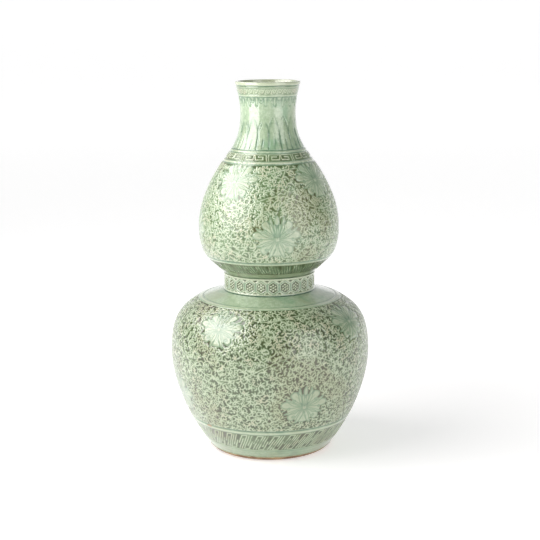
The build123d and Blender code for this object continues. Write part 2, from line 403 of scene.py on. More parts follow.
def carved_band_tree():
    """A turned ring of wall whose outer face carries raised strokes, plates and engraved lines."""
    tree = geometry_tree(
        "carved_band",
        Object=("Outline", "Raised", "Plates", "Engraved", "Pooled"),
        Int=("Columns",),
        Float=(
            *("Crest half width", "Foot half width", "Depth", "Shade", "Waver", "Petal thinness"),
            *("Line half width", "Line depth", "Drop half width"),
        ),
    )
    given = tree.given
    seam_gap = 0.002 * mm
    waver_scale, waver_swing = 130.0, 4.0
    pit_reach = 0.6 * mm
    plate_edge = 0.1 * mm
    drop_core, drop_depth, drop_pool = 0.2 * mm, 0.15 * mm, 0.65

    line = tree.geometry_of(given["Outline"])
    rows = tree.node("GeometryNodeAttributeDomainSize", line, out="Point Count")
    columns = tree.plus(given["Columns"], 1.0)
    sheet = tree.node("GeometryNodeMeshGrid", 1.0, 1.0, columns, rows, out="Mesh")
    place = tree.node("GeometryNodeInputPosition")
    across, up, _ = tree.split(place)
    azimuth = tree.times(tree.plus(across, 0.5), 2 * pi)
    row = tree.math("ROUND", tree.times(tree.plus(up, 0.5), tree.minus(rows, 1.0)))

    def sampled(value, kind="FLOAT_VECTOR"):
        """Value that the outline has at the row's own point."""
        named = {"Geometry": line, "Value": value, "Index": row}
        return tree.node("GeometryNodeSampleIndex", data_type=kind, named=named)

    radius, _, level = tree.split(sampled(place))
    lean_out, _, lean_up = tree.split(sampled(tree.attribute("lean", "FLOAT_VECTOR")))
    sheet = tree.keep(sheet, "outward", tree.turned(lean_out, azimuth, lean_up), "FLOAT_VECTOR")
    for name in ("carve", "pool", "thin", "brown", "corner"):
        sheet = tree.keep(sheet, name, sampled(tree.attribute(name), "FLOAT"))
    turned = tree.turned(radius, azimuth, level)
    sheet = tree.node("GeometryNodeSetPosition", sheet, named={"Position": turned})
    sheet = tree.node("GeometryNodeMergeByDistance", sheet, named={"Distance": seam_gap})

    wander = tree.node("ShaderNodeTexNoise", named={"Vector": place, "Scale": waver_scale}, out="Color")
    wander = tree.vector("SUBTRACT", wander, (0.5, 0.5, 0.5))
    wander = tree.scaled(wander, tree.times(given["Waver"], waver_swing))
    place = tree.vector("ADD", place, wander)

    def near(label, element):
        """Distance to the nearest edge or face of one of the patterns."""
        return tree.distance(tree.geometry_of(given[label]), element, place)

    crest_half, foot_half = given["Crest half width"], given["Foot half width"]
    stroke = near("Raised", "EDGES")
    ridge = tree.eased(stroke, crest_half, foot_half, 1.0, 0.0)
    pit = tree.eased(stroke, foot_half, tree.plus(foot_half, pit_reach), 0.85, 1.0)
    slope = tree.minus(foot_half, crest_half)
    plate = tree.eased(near("Plates", "FACES"), plate_edge, tree.plus(slope, plate_edge), 1.0, 0.0)
    line_reach = tree.times(given["Line half width"], 2.0)
    cut = tree.eased(near("Engraved", "EDGES"), 0.0, line_reach, 1.0, 0.0)
    drop_reach = tree.times(given["Drop half width"], 2.0)
    drop = tree.eased(near("Pooled", "EDGES"), drop_core, drop_reach, 1.0, 0.0)
    carve = tree.attribute("carve")
    hollow = tree.times(tree.minus(1.0, tree.highest(ridge, plate)), carve)
    depth = tree.plus(tree.times(hollow, given["Depth"]), tree.times(cut, given["Line depth"]))
    depth = tree.plus(depth, tree.times(drop, drop_depth))
    crest = tree.times(tree.times(ridge, carve), tree.minus(1.0, plate))
    petals = tree.times(tree.times(plate, given["Petal thinness"]), carve)
    sheet = tree.keep(sheet, "crest", crest)
    sheet = tree.keep(sheet, "hollow", tree.times(tree.times(hollow, pit), given["Shade"]))
    sheet = tree.keep(sheet, "engraved", tree.times(cut, given["Shade"]))
    sheet = tree.keep(sheet, "thin", tree.highest(tree.attribute("thin"), petals))
    sheet = tree.keep(sheet, "pool", tree.highest(tree.attribute("pool"), tree.times(drop, drop_pool)))
    shift = tree.scaled(tree.attribute("outward", "FLOAT_VECTOR"), tree.times(depth, -1.0))
    sheet = tree.node("GeometryNodeSetPosition", sheet, named={"Offset": shift})
    sheet = tree.node("GeometryNodeSetShadeSmooth", sheet, named={"Shade Smooth": True})
    corner = tree.math("GREATER_THAN", tree.attribute("corner"), 0.99)
    sheet = tree.keep(sheet, "sharp_edge", corner, "BOOLEAN", "EDGE")
    tree.finish(sheet)
    return tree


def motif_ring_tree():
    """A flat motif, laid on the vase along its outline and repeated round the axis."""
    tree = geometry_tree("motif_ring", Object=("Motif", "Outline"), Float=("Foot", "Turn"), Int=("Count",))
    given = tree.given
    motif = tree.geometry_of(given["Motif"])
    across, up, lift = tree.split(tree.node("GeometryNodeInputPosition"))
    named = {"Curves": tree.geometry_of(given["Outline"]), "Length": tree.plus(given["Foot"], up)}
    sample = tree.made("GeometryNodeSampleCurve", mode="LENGTH", named=named)
    radius, _, level = tree.split(sample.outputs["Position"])
    run, _, climb = tree.split(sample.outputs["Tangent"])
    azimuth = tree.math("DIVIDE", across, radius)
    lifted = tree.plus(radius, tree.times(lift, climb))
    level = tree.minus(level, tree.times(lift, run))
    place = tree.turned(lifted, azimuth, level)
    motif = tree.node("GeometryNodeSetPosition", motif, named={"Position": place})
    points = tree.node("GeometryNodeMeshLine", named={"Count": given["Count"], "Offset": (0.0, 0.0, 0.0)})
    pitch = tree.math("DIVIDE", 2 * pi, given["Count"])
    index = tree.node("GeometryNodeInputIndex")
    turn = tree.plus(given["Turn"], tree.times(index, pitch))
    rotation = tree.node("FunctionNodeEulerToRotation", tree.joined(0.0, 0.0, turn))
    named = {"Points": points, "Instance": motif, "Rotation": rotation}
    tree.finish(tree.node("GeometryNodeInstanceOnPoints", named=named))
    return tree


def scroll_ground_tree():
    """Sprays and single leaves that fill the ground between blooms and stems."""
    tree = geometry_tree(
        "scroll_ground",
        Object=("Skin", "Blooms", "Stems"),
        Collection=("Sprays", "Leaves"),
        Float=("Spray spacing", "Leaf spacing", "Spray clearance", "Leaf clearance"),
        Int=("Seed",),
    )
    given = tree.given
    densest = 900000.0
    chance = "FunctionNodeRandomValue"
    blooms = tree.geometry_of(given["Blooms"])
    stems = tree.geometry_of(given["Stems"])

    def family(collection):
        named = {"Collection": collection, "Separate Children": True, "Reset Children": True}
        return tree.node("GeometryNodeCollectionInfo", named=named)

    def scattered(motifs, spacing, near, seed):
        named = {"Mesh": tree.geometry_of(given["Skin"]), "Seed": seed}
        named |= {"Distance Min": spacing, "Density Max": densest}
        scatter = tree.made("GeometryNodeDistributePointsOnFaces", distribute_method="POISSON", named=named)
        points = scatter.outputs["Points"]
        spots = tree.keep(points, "spin", scatter.outputs["Rotation"], "QUATERNION")
        spots = tree.node("GeometryNodeDeleteGeometry", spots, near, domain="POINT")
        turn = tree.node(chance, data_type="FLOAT", named={"Max": 2 * pi, "Seed": seed})
        turn = tree.node("FunctionNodeEulerToRotation", tree.joined(0.0, 0.0, turn))
        facing = tree.attribute("spin", "QUATERNION")
        facing = tree.node("FunctionNodeRotateRotation", facing, turn, rotation_space="LOCAL")
        size = tree.node(chance, data_type="FLOAT", named={"Min": 0.85, "Max": 1.15, "Seed": seed})
        named = {"Points": spots, "Instance": motifs, "Pick Instance": True}
        named |= {"Rotation": facing, "Scale": size}
        placed = tree.node("GeometryNodeInstanceOnPoints", named=named)
        return tree.node("GeometryNodeRealizeInstances", placed)

    near_bloom = tree.distance(blooms, "FACES")
    near = tree.math("LESS_THAN", near_bloom, given["Spray clearance"])
    sprays = scattered(family(given["Sprays"]), given["Spray spacing"], near, given["Seed"])
    drawn = tree.joining(sprays, stems)
    near_bloom = tree.math("LESS_THAN", near_bloom, tree.times(given["Leaf clearance"], 1.1))
    near_stem = tree.math("LESS_THAN", tree.distance(drawn, "EDGES"), given["Leaf clearance"])
    near = tree.highest(near_bloom, near_stem)
    later_seed = tree.plus(given["Seed"], 1.0)
    leaves = scattered(family(given["Leaves"]), given["Leaf spacing"], near, later_seed)
    tree.finish(tree.joining(drawn, leaves))
    return tree


carved_band = carved_band_tree()
motif_ring = motif_ring_tree()
scroll_ground = scroll_ground_tree()

# Pattern makers: flat motifs in metres, x across, y up the vase, z off its surface

pattern_objects = []


def held(name, data):
    """Object that holds a pattern while the vase is made."""
    holder = in_scene(name, data)
    pattern_objects.append(holder)
    return holder


def pattern(name, points, edges=(), faces=()):
    """Pattern object from its points and edges or faces."""
    mesh = bpy.data.meshes.new(name)
    mesh.from_pydata([tuple(p) for p in points], list(edges), list(faces))
    return held(name, mesh)


class Motif:
    """Strokes and plates of one motif, drawn in millimetres."""

    def __init__(self):
        self.points = []
        self.edges = []
        self.plate_points = []
        self.plate_faces = []

    def stroke(self, points, closed=False, spacing=1.0, taper=0.0, lift=0.0):
        """Line through the points. A lift makes it finer all along, and a taper towards its end."""
        ring = [*points, points[0]] if closed else list(points)
        path = [np.array(ring[0], float)]
        for a, b in zip(ring, ring[1:]):
            a, b = np.array(a, float), np.array(b, float)
            parts = max(1, ceil(np.linalg.norm(b - a) / spacing))
            path += [a + (b - a) * i / parts for i in range(1, parts + 1)]
        first = len(self.points)
        last = len(path) - 1
        for i, p in enumerate(path):
            self.points.append((p[0], p[1], lift + taper * (i / last) ** 2))
        self.edges += [(first + i, first + i + 1) for i in range(last)]

    def pair(self, points, **style):
        """Stroke and its mirror image."""
        for hand in (1, -1):
            self.stroke([(hand * x, y) for x, y in points], **style)

    def plate(self, middle, sides):
        """Raised plate from its middle line and the half widths either side of it."""
        first = len(self.plate_points)
        spans = (-1.0, -0.5, 0.0, 0.5, 1.0)
        for point, side in zip(middle, sides):
            self.plate_points += [(point[0] + side[0] * k, point[1] + side[1] * k, 0.0) for k in spans]
        width = len(spans)
        for i in range(len(middle) - 1):
            for k in range(width - 1):
                a = first + i * width + k
                self.plate_faces.append((a, a + 1, a + 1 + width, a + width))

    def strokes(self, name):
        """The motif's strokes as an object, in metres."""
        return pattern(name, np.array(self.points) * mm, self.edges)

    def plates(self, name):
        """The motif's plates as an object, in metres."""
        return pattern(name, np.array(self.plate_points) * mm, (), self.plate_faces)


def curve_points(start, control, end, count=10):
    """Points of a quadratic curve."""
    start, control, end = (np.array(p, float) for p in (start, control, end))
    shares = np.linspace(0, 1, count + 1)
    return [(1 - t) ** 2 * start + 2 * t * (1 - t) * control + t * t * end for t in shares]


def spiral_points(middle, start_radius, end_radius, start_turn, turns, count=14):
    """Points of a spiral, with turns counted anticlockwise from the right."""
    points = []
    for i in range(count + 1):
        share = i / count
        radius = start_radius + (end_radius - start_radius) * share
        angle = 2 * pi * (start_turn + turns * share)
        points.append((middle[0] + radius * cos(angle), middle[1] + radius * sin(angle)))
    return points


def petal(motif, root, tip, width, bend=0.0, swell=0.8, end=0.4, rows=12):
    """Plate with an engraved edge, from its root to its tip. A small end share makes a round tip."""
    root, tip = np.array(root, float), np.array(tip, float)
    run = tip - root
    side = np.array([run[1], -run[0]]) / np.linalg.norm(run)
    peak = (swell / (swell + end)) ** swell * (end / (swell + end)) ** end
    shares = [(1 - cos(pi * i / rows)) / 2 for i in range(rows + 1)]
    middle = [root + run * t + side * bend * 4 * t * (1 - t) for t in shares]
    halves = [side * width / 2 * t**swell * (1 - t) ** end / peak for t in shares]
    motif.plate(middle, halves)
    left = [m - h for m, h in zip(middle, halves)]
    right = [m + h for m, h in zip(middle, halves)]
    motif.stroke(left + right[::-1], spacing=3.0)
    if width > 5.0:
        motif.stroke(middle[3:9], spacing=3.0, lift=0.45)


def lotus_head():
    """Lotus seen from the front: nineteen petals and leaves about a plain heart, in millimetres."""
    head = Motif()
    petal(head, (0, -2.0), (0, -18.0), 8.6, swell=1.8, end=0.16)
    petal(head, (0, 2.0), (0, 12.4), 2.0, swell=0.3, end=0.2)
    petal(head, (0, 14.5), (0, 24.4), 4.2, swell=0.6, end=0.8)
    for hand in (1, -1):
        for root, tip, width, bend, swell, end in (
            ((1.0, 3.0), (2.6, 15.6), 2.4, 0.3, 0.8, 0.45),
            ((1.8, 2.8), (6.9, 23.4), 3.6, 1.3, 0.8, 0.95),
            ((2.4, 2.4), (14.4, 17.6), 8.8, -1.2, 1.3, 0.40),
            ((2.8, 1.6), (21.6, 11.8), 3.6, 1.3, 0.8, 0.95),
            ((3.0, 0.4), (25.2, 4.4), 7.8, -1.0, 1.3, 0.46),
            ((3.0, -0.8), (21.2, -7.4), 3.6, 0.9, 0.8, 0.95),
            ((2.4, -1.8), (15.6, -14.2), 8.0, -1.0, 1.3, 0.44),
            ((1.6, -2.4), (8.0, -19.4), 4.0, 0.9, 0.9, 0.80),
        ):
            root, tip = (hand * root[0], root[1]), (hand * tip[0], tip[1])
            petal(head, root, tip, width, hand * bend, swell, end)
        for centre, start in (((16.8, 0.2), -0.05), ((11.6, 9.4), 0.1), ((10.9, -11.2), 0.5)):
            turn = start if hand > 0 else 0.5 - start
            curl = spiral_points((hand * centre[0], centre[1]), 2.0, 0.4, turn, -1.1 * hand)
            head.stroke(curl, spacing=3.0)
    heart_half_width, heart_half_height = 18.6, 14.6
    turns = np.linspace(0, pi, 9)
    sides = [(heart_half_width * sin(a), 0.0) for a in turns]
    head.plate([(0.0, heart_half_height * cos(a)) for a in turns], sides)
    head.stroke([(2.4 * cos(a), 2.8 * sin(a)) for a in np.arange(8) * pi / 4], closed=True)
    return head


def lotus_drops():
    """Where the glaze pools in a lotus head: under its bud, and in the notches round its heart."""
    drops = Motif()
    drops.stroke([(-1.2, 14.6), (0, 13.2), (1.2, 14.6)])
    drops.stroke([(0, 5.0), (0, 0.5)], lift=0.7)
    drops.pair([(3.4, 5.4), (2.7, 2.8)], lift=0.3)
    drops.pair([(9.6, 18.6), (8.2, 16.0)])
    drops.pair([(24.0, -3.2), (20.5, -3.4)])
    return drops.strokes("lotus_drops")


def gathered(name, motifs):
    """Collection of small motifs that the ground picks from."""
    family = bpy.data.collections.new(name)
    for motif in motifs:
        family.objects.link(motif.strokes(name))
    return family


def leaf_sprays():
    """Small sprays of the ground: leaves about a point, some with a curling tail."""
    motifs = []
    # Leaves, their reach, the share of a full turn that they fill, and their bend
    kinds = ((5, 3.7, 1.0, 0.2), (6, 3.5, 1.0, -0.2), (4, 4.2, 0.55, 0.25), (5, 4.0, 0.7, -0.2))
    for count, reach, sweep, bend in kinds:
        spray = Motif()
        for i in range(count):
            angle = 2 * pi * sweep * i / count
            length = reach * (1.0 if i % 2 else 0.82)
            out = np.array([cos(angle), sin(angle)])
            side = np.array([-out[1], out[0]]) * length * bend
            spray.stroke(curve_points(out * 0.5, out * length * 0.55 + side, out * length, 4), taper=0.25)
        if sweep < 1:
            tail = spiral_points((1.6, -2.2), 3.0, 4.6, 0.30, 0.42 * copysign(1, bend), 8)
            spray.stroke(tail, taper=0.2)
        motifs.append(spray)
    arc_spray = Motif()
    arc_spray.stroke(spiral_points((0, 0), 4.2, 3.0, 0.0, 0.55, 10))
    arc_spray.stroke(curve_points((0.6, 3.9), (1.4, 5.2), (2.9, 5.6), 4), taper=0.25)
    arc_spray.stroke(curve_points((-2.9, 2.5), (-4.6, 3.4), (-5.0, 5.0), 4), taper=0.25)
    arc_spray.stroke(curve_points((0.8, 0.3), (-0.2, 0.9), (-1.3, 0.4), 4))
    motifs.append(arc_spray)
    return gathered("leaf_sprays", motifs)


def ground_leaves():
    """Single leaves of the ground: a short curve, a fork and a comma."""
    curve = Motif()
    curve.stroke(curve_points((-1.35, -0.3), (0.1, 1.0), (1.35, -0.35), 4), taper=0.2)
    fork = Motif()
    fork.stroke(curve_points((-1.3, 0.0), (0.0, 0.3), (1.2, 1.1), 4), taper=0.2)
    fork.stroke([(0.0, 0.2), (1.1, -1.0)], taper=0.2)
    comma = Motif()
    comma.stroke(spiral_points((0, 0), 1.5, 0.8, 0.05, 0.45, 5), taper=0.2)
    return gathered("ground_leaves", [curve, fork, comma])


def stem_wave(length, height, curl):
    """One wave of a stem, with a curling branch in each bend, in millimetres."""
    stem = Motif()
    wave = [(length * t, height * sin(2 * pi * t)) for t in np.linspace(-0.5, 0.5, 41)]
    stem.stroke(wave, spacing=1.5, lift=0.3)
    for hand in (1, -1):
        middle = (hand * length / 4, hand * (height - curl * 1.5))
        turns = spiral_points(middle, curl, curl * 0.3, 0.5 + 0.25 * hand, -1.25, 26)
        stem.stroke(turns, spacing=1.5, lift=0.2)
    return stem.strokes("stem_wave")


def outline_curve():
    """The whole outline as a curve, for laying motifs along it."""
    curve = bpy.data.curves.new("outline_curve", "CURVE")
    curve.dimensions = "3D"
    spline = curve.splines.new("POLY")
    spline.points.add(len(outline) - 1)
    for point, (radius, level) in zip(spline.points, outline):
        point.co = (radius, 0.0, level, 1.0)
    return held("outline_curve", curve)


vase_curve = outline_curve()


def ring_of(name, motif, level, count, turn=0.0):
    """Pattern object: a motif laid at a level and repeated round the vase."""
    settings = {
        "Motif": motif,
        "Outline": vase_curve,
        "Foot": along(level),
        "Count": count,
        "Turn": radians(turn),
    }
    return held(name, grown(name, motif_ring, settings))


def together(name, *parts):
    """Pattern object that joins several others."""
    points, edges, faces = [], [], []
    for part in parts:
        first = len(points)
        mesh = part.data
        points += [tuple(v.co) for v in mesh.vertices]
        faces += [tuple(first + i for i in f.vertices) for f in mesh.polygons]
        if not mesh.polygons:
            edges += [tuple(first + i for i in e.vertices) for e in mesh.edges]
    return pattern(name, points, edges, faces)


def skin(name, low, high, columns=240, spacing=2.0 * mm):
    """Coarse sheet of the vase's outer face between two levels, for scattering on."""
    lengths = np.arange(along(low), along(high), spacing)
    turns = np.linspace(0, 2 * pi, columns, endpoint=False)
    points = []
    for length in lengths:
        radius, level = at_length(length)
        points += [(radius * sin(a), -radius * cos(a), level) for a in turns]
    faces = []
    for i in range(len(lengths) - 1):
        for k in range(columns):
            a, b = i * columns + k, i * columns + (k + 1) % columns
            faces.append((a, b, b + columns, a + columns))
    return pattern(name, points, (), faces)


# The ornament of the two bulbs

lotus = lotus_head()
lotus_lines = lotus.strokes("lotus_lines")
lotus_plates = lotus.plates("lotus_plates")
lotus_pools = lotus_drops()
sprays = leaf_sprays()
leaves = ground_leaves()


def bulb_ornament(name, heads, stems, low, high, seed):
    """Scroll ground, lotus heads, their engraved lines and their pools of glaze for one bulb."""

    def on_heads(part, motif):
        """One part of all the bulb's lotus heads."""
        return together(name + part, *[ring_of(name + part, motif, level, 4, turn) for level, turn in heads])

    blooms = on_heads("_plates", lotus_plates)
    waves = []
    for level, count, height, curl, turn in stems:
        length = 2 * pi * radius_at(level) / count / mm
        waves.append(ring_of(name + "_stem", stem_wave(length, height, curl), level, count, turn))
    settings = {
        "Skin": skin(name + "_skin", low, high),
        "Blooms": blooms,
        "Stems": together(name + "_stems", *waves),
        "Sprays": sprays,
        "Leaves": leaves,
        "Spray spacing": 8.6 * mm,
        "Leaf spacing": 2.3 * mm,
        "Spray clearance": 3.4 * mm,
        "Leaf clearance": 1.35 * mm,
        "Seed": seed,
    }
    return {
        "Raised": held(name + "_ground", grown(name + "_ground", scroll_ground, settings)),
        "Plates": blooms,
        "Engraved": on_heads("_lines", lotus_lines),
        "Pooled": on_heads("_pools", lotus_pools),
    }


# Lotus heads: level of the heart in millimetres, and turn of the first of four in degrees.
# Stems: level, waves round the bulb, height of a wave, radius of its curls, and turn, in the same units.
lower_heads = in_metres(1, [(68.5, 20.5), (150.0, -32.0)])
upper_heads = in_metres(1, [(242.0, 6.5), (298.5, -35.5)])
lower_stems = in_metres(1, [
    (112.0, 4, 14.0, 7.0, -5.5), (54.0, 8, 6.0, 4.5, 3.0), (161.0, 7, 3.5, 3.5, 10.0),
])
upper_stems = in_metres(1, [
    (277.8, 4, 8.0, 5.5, -14.5), (225.0, 7, 5.0, 4.0, 0.0), (309.0, 5, 3.5, 3.5, 9.0),
])
lower_carving = bulb_ornament("lower", lower_heads, lower_stems, 41.5 * mm, 167.5 * mm, 11)
upper_carving = bulb_ornament("upper", upper_heads, upper_stems, 216.5 * mm, 315.5 * mm, 23)
upper_carving["Shade"] = 0.82

# The ornament of the narrow bands


def key_fret(count, radius, height):
    """Pairs of squared spirals, back to back, for the band at the root of the neck."""
    width = pi * radius / count / mm
    fret = Motif()
    steps = [(0.08, 0.02), (0.08, 0.98), (0.92, 0.98), (0.92, 0.25), (0.33, 0.25), (0.33, 0.66), (0.66, 0.66)]
    fret.pair([(x * width, y * height) for x, y in steps], spacing=2.0)
    return fret.strokes("key_fret")


def six_corners(across, up):
    """Corners of a cell that stands on its point."""
    turns = np.arange(6) * pi / 3
    return [(across * sin(a) / sin(pi / 3), up * cos(a)) for a in turns]


def honeycomb(count, radius):
    """Six-sided cell with seven seeds in it, in a plain field with a double edge."""
    width = 2 * pi * radius / count / mm
    cell = Motif()
    inner = six_corners(width * 0.375, width * 0.47)
    outer = six_corners(width * 0.50, width * 0.78)
    for a, b, c, d in zip(inner, outer, [*inner[1:], inner[0]], [*outer[1:], outer[0]]):
        first = len(cell.plate_points)
        cell.plate_points += [(*a, 0.0), (*b, 0.0), (*d, 0.0), (*c, 0.0)]
        cell.plate_faces.append((first, first + 1, first + 2, first + 3))
    seeds = [(0.0, 0.0)] + [(2.7 * sin(a), 3.0 * cos(a)) for a in np.arange(6) * pi / 3]
    for x, y in seeds:
        cell.stroke([(x - 0.15, y - 0.15), (x + 0.15, y + 0.15)])
    edge = Motif()
    edge.stroke(six_corners(width * 0.44, width * 0.555), closed=True, spacing=2.0)
    edge.pair([(width * 0.5, width * 0.36), (width * 0.5, -width * 0.36)], spacing=2.0)
    return cell.strokes("honeycomb_seeds"), cell.plates("honeycomb_field"), edge.strokes("honeycomb_edge")


def slanted_fret(count, radius, height):
    """Slanted fret: a pair of bars that lean over, with squared hooks at each side."""
    width = 2 * pi * radius / count / mm
    fret = Motif()
    lean = width * 0.62

    def slanted(points):
        fret.stroke([(x + lean * (y - 0.5), y * height) for x, y in points], spacing=2.0)

    for x in (-1.25, 1.25):
        slanted([(x, 0.03), (x, 0.97)])
    for hand in (1, -1):
        for steps in (
            [(1.25, 0.03), (width * 0.42, 0.03), (width * 0.42, 0.58)],
            [(width * 0.25, 0.97), (width * 0.25, 0.26)],
        ):
            slanted([(hand * x, 0.5 + hand * (y - 0.5)) for x, y in steps])
    return fret.strokes("slanted_fret")


def leaf_hatch(count, radius, height):
    """Pointed leaf with slanting veins, for the diaper under the upper bulb."""
    width = 2 * pi * radius / count / mm
    leaf = Motif()
    cut = Motif()
    leaf.pair([(width * 0.30, height * 0.04), (0, height * 0.96)], spacing=2.0, lift=0.2)
    low, high = height * 0.1, height * 0.9
    for shift in (0.0, 0.22, 0.44, 0.66):
        leaf.stroke([(width * shift, low), (width * (shift - 0.2), high)], spacing=2.0, lift=0.1)
        cut.stroke([(width * (shift + 0.1), low), (width * (shift - 0.12), high)], spacing=2.0)
    return leaf.strokes("leaf_hatch"), cut.strokes("hatch_cuts")


def pendants():
    """Outlines of long drops with short festoons between them, and the dots of glaze in them."""
    drop = Motif()
    drop.stroke([(-1.5, 0.4), (-1.5, -6.6), (-1.1, -8.2), (0, -8.9), (1.1, -8.2), (1.5, -6.6), (1.5, 0.4)])
    drop.pair([(1.5, -3.0), (2.3, -3.4), (3.2, -4.9), (4.8, -5.5)], lift=0.1)
    drop.pair([(4.0, -2.0), (4.1, -3.2), (4.8, -3.8)])
    dots = Motif()
    dots.pair([(2.5, -0.6), (2.6, -2.0)])
    return drop.strokes("pendant_edges"), dots.strokes("pendant_dots")


def stiff_leaves(count, foot, top, height):
    """Groove between two upright pointed leaves, and the finer lines within them."""
    half = pi * foot / count / mm
    half_top = pi * top / count / mm
    leaf = Motif()
    leaf.stroke([(0, 0.3), (0, height * 0.5)], spacing=2.0)
    groove = curve_points((0, height * 0.5), (0.4, height * 0.80), (half_top, height), 8)
    leaf.pair(groove, spacing=2.0, lift=0.45)
    for share, reach, lift in ((0.30, 0.84, 0.7), (0.62, 0.66, 0.8)):
        across = half * share
        side = (across, height * 0.42)
        leaf.pair([(across, 0.8), side], spacing=2.0, lift=lift)
        line = curve_points(side, (across, height * 0.72 * reach), (half_top, height * reach), 8)
        leaf.pair(line, spacing=2.0, lift=lift)
    leaf.stroke([(half, 0.8), (half * 0.95, height * 0.5)], spacing=2.0, lift=0.4)
    drops = Motif()
    drops.stroke([(0, height * 0.40), (0, height * 0.58)])
    drops.stroke([(0, 0.2), (0, height * 0.40)], lift=0.75)
    drops.stroke([(half, 0.2), (half, height * 0.30)], lift=0.55)
    drops.pair([(0, height * 0.58), (half * 0.45, height * 0.80)], lift=0.75)
    return leaf.strokes("stiff_leaves"), drops.strokes("leaf_drops")


def mouth_scroll(height):
    """Small curl of the band below the lip."""
    curl = Motif()
    curl.stroke(spiral_points((0, 0), 2.6, 0.6, 0.55, -1.2), spacing=1.0)
    curl.stroke([(-2.5, -0.8), (-3.1, -height * 0.4), (-1.6, -height * 0.47)], spacing=1.0)
    curl.stroke([(2.3, 1.2), (3.2, height * 0.42)], spacing=1.0)
    return curl.strokes("mouth_scroll")


# Repeats of each motif round the vase
foot_fret_count, cell_count, hatch_count, neck_fret_count = 31, 24, 30, 10
leaf_count, pendant_count, curl_count = 17, 20, 32

foot_fret_low, foot_fret_high = 15.8 * mm, 34.8 * mm
foot_fret = slanted_fret(foot_fret_count, radius_at(25.0 * mm), rise(foot_fret_low, foot_fret_high))
foot_fret = ring_of("foot_fret", foot_fret, foot_fret_low, foot_fret_count, 4.0)
collar_middle = (collar_foot_level + collar_top_level) / 2 - 0.3 * mm
collar_seeds, collar_field, collar_edges = [
    ring_of("collar_cells", part, collar_middle, cell_count, 4.8)
    for part in honeycomb(cell_count, collar_radius)
]
hatch_low, hatch_high = 200.9 * mm, 212.3 * mm
hatch, hatch_cuts = [
    ring_of("hatch", part, hatch_low, hatch_count, 2.0)
    for part in leaf_hatch(hatch_count, radius_at(207.0 * mm), rise(hatch_low, hatch_high))
]
fret_low, fret_high = 319.5 * mm, 326.2 * mm
neck_fret = key_fret(neck_fret_count, radius_at(322.0 * mm), rise(fret_low, fret_high))
neck_fret = ring_of("neck_fret", neck_fret, fret_low, neck_fret_count, -1.0)
leaves_low, leaves_high = 331.0 * mm, 365.0 * mm
leaf_foot, leaf_top = radius_at(336.0 * mm), radius_at(leaves_high)
leaf_lines, leaf_drops = [
    ring_of("neck_leaves", part, leaves_low, leaf_count, 1.2)
    for part in stiff_leaves(leaf_count, leaf_foot, leaf_top, rise(leaves_low, leaves_high))
]
pendant_edges, pendant_dots = [
    ring_of("neck_pendants", part, 383.4 * mm, pendant_count, -4.0) for part in pendants()
]
mouth_curls = ring_of("mouth_curls", mouth_scroll(5.8), 390.2 * mm, curl_count)

# Materials


def tint(red, green, blue):
    """Linear colour from one as seen on a screen."""
    return (*[((c + 0.055) / 1.055) ** 2.4 for c in (red, green, blue)], 1.0)


# Tints of the glaze where it is plain, thin, browner (painted shade on some bands, a browner cream on the
# lip), in the hollows and pooled, and of the clay
tints = {
    "glaze": tint(0.59, 0.68, 0.55),
    "pale glaze": tint(0.67, 0.745, 0.625),
    "drifted glaze": tint(0.57, 0.62, 0.47),
    "crackle": tint(0.46, 0.50, 0.34),
    "cloud": tint(0.46, 0.62, 0.48),
    "fired glaze": tint(0.50, 0.56, 0.42),
    "brown glaze": tint(0.44, 0.40, 0.31),
    "cream": tint(0.72, 0.765, 0.64),
    "warm cream": tint(0.75, 0.74, 0.62),
    "drifted cream": tint(0.66, 0.69, 0.54),
    "hollow": tint(0.41, 0.51, 0.34),
    "drifted hollow": tint(0.41, 0.45, 0.28),
    "fired hollow": tint(0.36, 0.39, 0.28),
    "deep": tint(0.20, 0.26, 0.08),
    "drifted deep": tint(0.22, 0.22, 0.02),
    "engraved line": tint(0.35, 0.50, 0.37),
    "pool": tint(0.16, 0.36, 0.25),
    "thin glaze": tint(0.78, 0.80, 0.69),
    "kiln speck": tint(0.66, 0.48, 0.30),
    "clay": tint(0.50, 0.36, 0.24),
    "pale clay": tint(0.72, 0.60, 0.44),
    "clay grain": tint(0.48, 0.40, 0.32),
    "glaze on clay": tint(0.66, 0.70, 0.57),
}


class Finish(Tree):
    """A material being built, with its patterns on Object coordinates."""

    def __init__(self, name):
        self.material = bpy.data.materials.new(name)
        self.material.use_nodes = True
        self.material.node_tree.nodes.clear()
        super().__init__(self.material.node_tree)
        self.place = self.node("ShaderNodeTexCoord", out="Object")

    def noise(self, scale, detail=3.0, roughness=0.55):
        named = {"Vector": self.place, "Scale": scale, "Detail": detail, "Roughness": roughness}
        return self.node("ShaderNodeTexNoise", named=named, out="Fac")

    def kept(self, name):
        """Value that the surface keeps under this name."""
        return self.node("ShaderNodeAttribute", attribute_name=name, out="Fac")

    def laid(self, under, over, cover, share=None):
        """A colour or tint laid over another, as far as it covers it."""
        if share is not None:
            cover = self.times(cover, share)
        colours = [tints[c] if isinstance(c, str) else c for c in (under, over)]
        return self.node("ShaderNodeMix", cover, *colours, data_type="RGBA")

    def bump(self, strength, distance, height):
        named = {"Strength": strength, "Distance": distance, "Height": height}
        return self.node("ShaderNodeBump", named=named)

    def coated(self, named):
        """The finished material, from its shader's settings by name."""
        self.node("ShaderNodeOutputMaterial", self.node("ShaderNodeBsdfPrincipled", named=named))
        return self.material


# Brown speck that the kiln has left above the foot band, how much flatter than wide it is, and the
# places where the glaze is drawn browner and darker, each with its reach
kiln_speck = (-63.5 * mm, -58.4 * mm, 39.0 * mm)
kiln_speck_shape = (1.0, 1.0, 3.2)
browner_places = [((28 * mm, -100 * mm, 95 * mm), 62 * mm), ((46 * mm, -58 * mm, 262 * mm), 42 * mm)]


